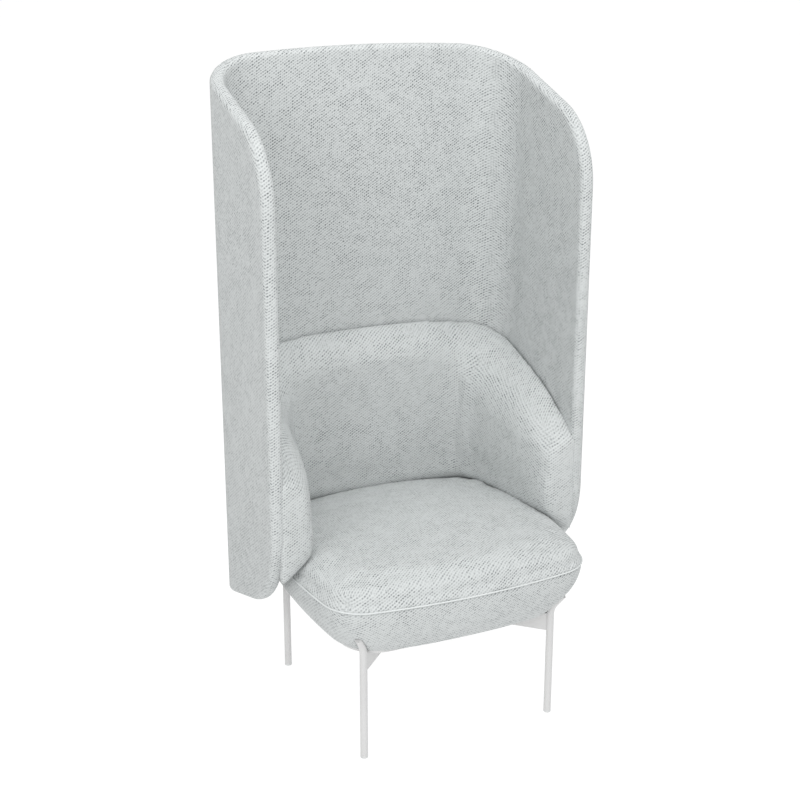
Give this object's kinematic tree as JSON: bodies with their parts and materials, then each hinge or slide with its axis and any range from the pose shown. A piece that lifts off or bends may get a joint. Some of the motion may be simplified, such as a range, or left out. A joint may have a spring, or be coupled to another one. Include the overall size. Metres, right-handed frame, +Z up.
{
  "type": "acoustic high back lounge chair",
  "caption": "Lounge chair with a low upholstered tub seat on a slender metal frame, inside a tall wrap-round acoustic screen.",
  "frame": {"origin": "on the floor under the middle of the chair", "axes": "+Z up, -Y towards the front of the seat, +X towards the right-hand arm as seen from the front"},
  "size_m": [0.732, 0.5939, 1.4045],
  "materials": {
    "fabric_screen": "woven upholstery, pale cool grey",
    "fabric_seat": "woven upholstery, pale cool grey",
    "fabric_piping": "woven piping, pale cool grey",
    "foam": "open foam",
    "core_board": "sanded board",
    "spacer_wood": "sanded",
    "frame_paint": "satin powder coat, pale grey",
    "fasteners": "zinc plated",
    "glide_plastic": "matte, pale grey"
  },
  "bodies": {
    "root": {"screen_outer_cover": "fabric_screen", "screen_inner_cover": "fabric_screen", "seat_lower_cover": "fabric_seat", "seat_top_cover": "fabric_seat", "back_cushion": "fabric_seat", "arm_cushion_left": "fabric_seat", "arm_cushion_right": "fabric_seat", "seat_piping": "fabric_piping", "seat_foam_core": "foam", "screen_core": "core_board", "seat_board": "core_board", "spacer_left": "spacer_wood", "spacer_right": "spacer_wood", "leg_front_left": "frame_paint", "leg_front_right": "frame_paint", "leg_rear_right": "frame_paint", "leg_rear_left": "frame_paint", "rail_diagonal_full": "frame_paint", "rail_half_front": "frame_paint", "rail_half_rear": "frame_paint", "seat_plate": "frame_paint", "bracket_rear_left": "frame_paint", "bracket_rear_right": "frame_paint", "seat_bolts": "fasteners", "bracket_bolts": "fasteners", "screen_screws": "fasteners", "glide_front_left": "glide_plastic", "glide_front_right": "glide_plastic", "glide_rear_right": "glide_plastic", "glide_rear_left": "glide_plastic"}
  },
  "joints": []
}
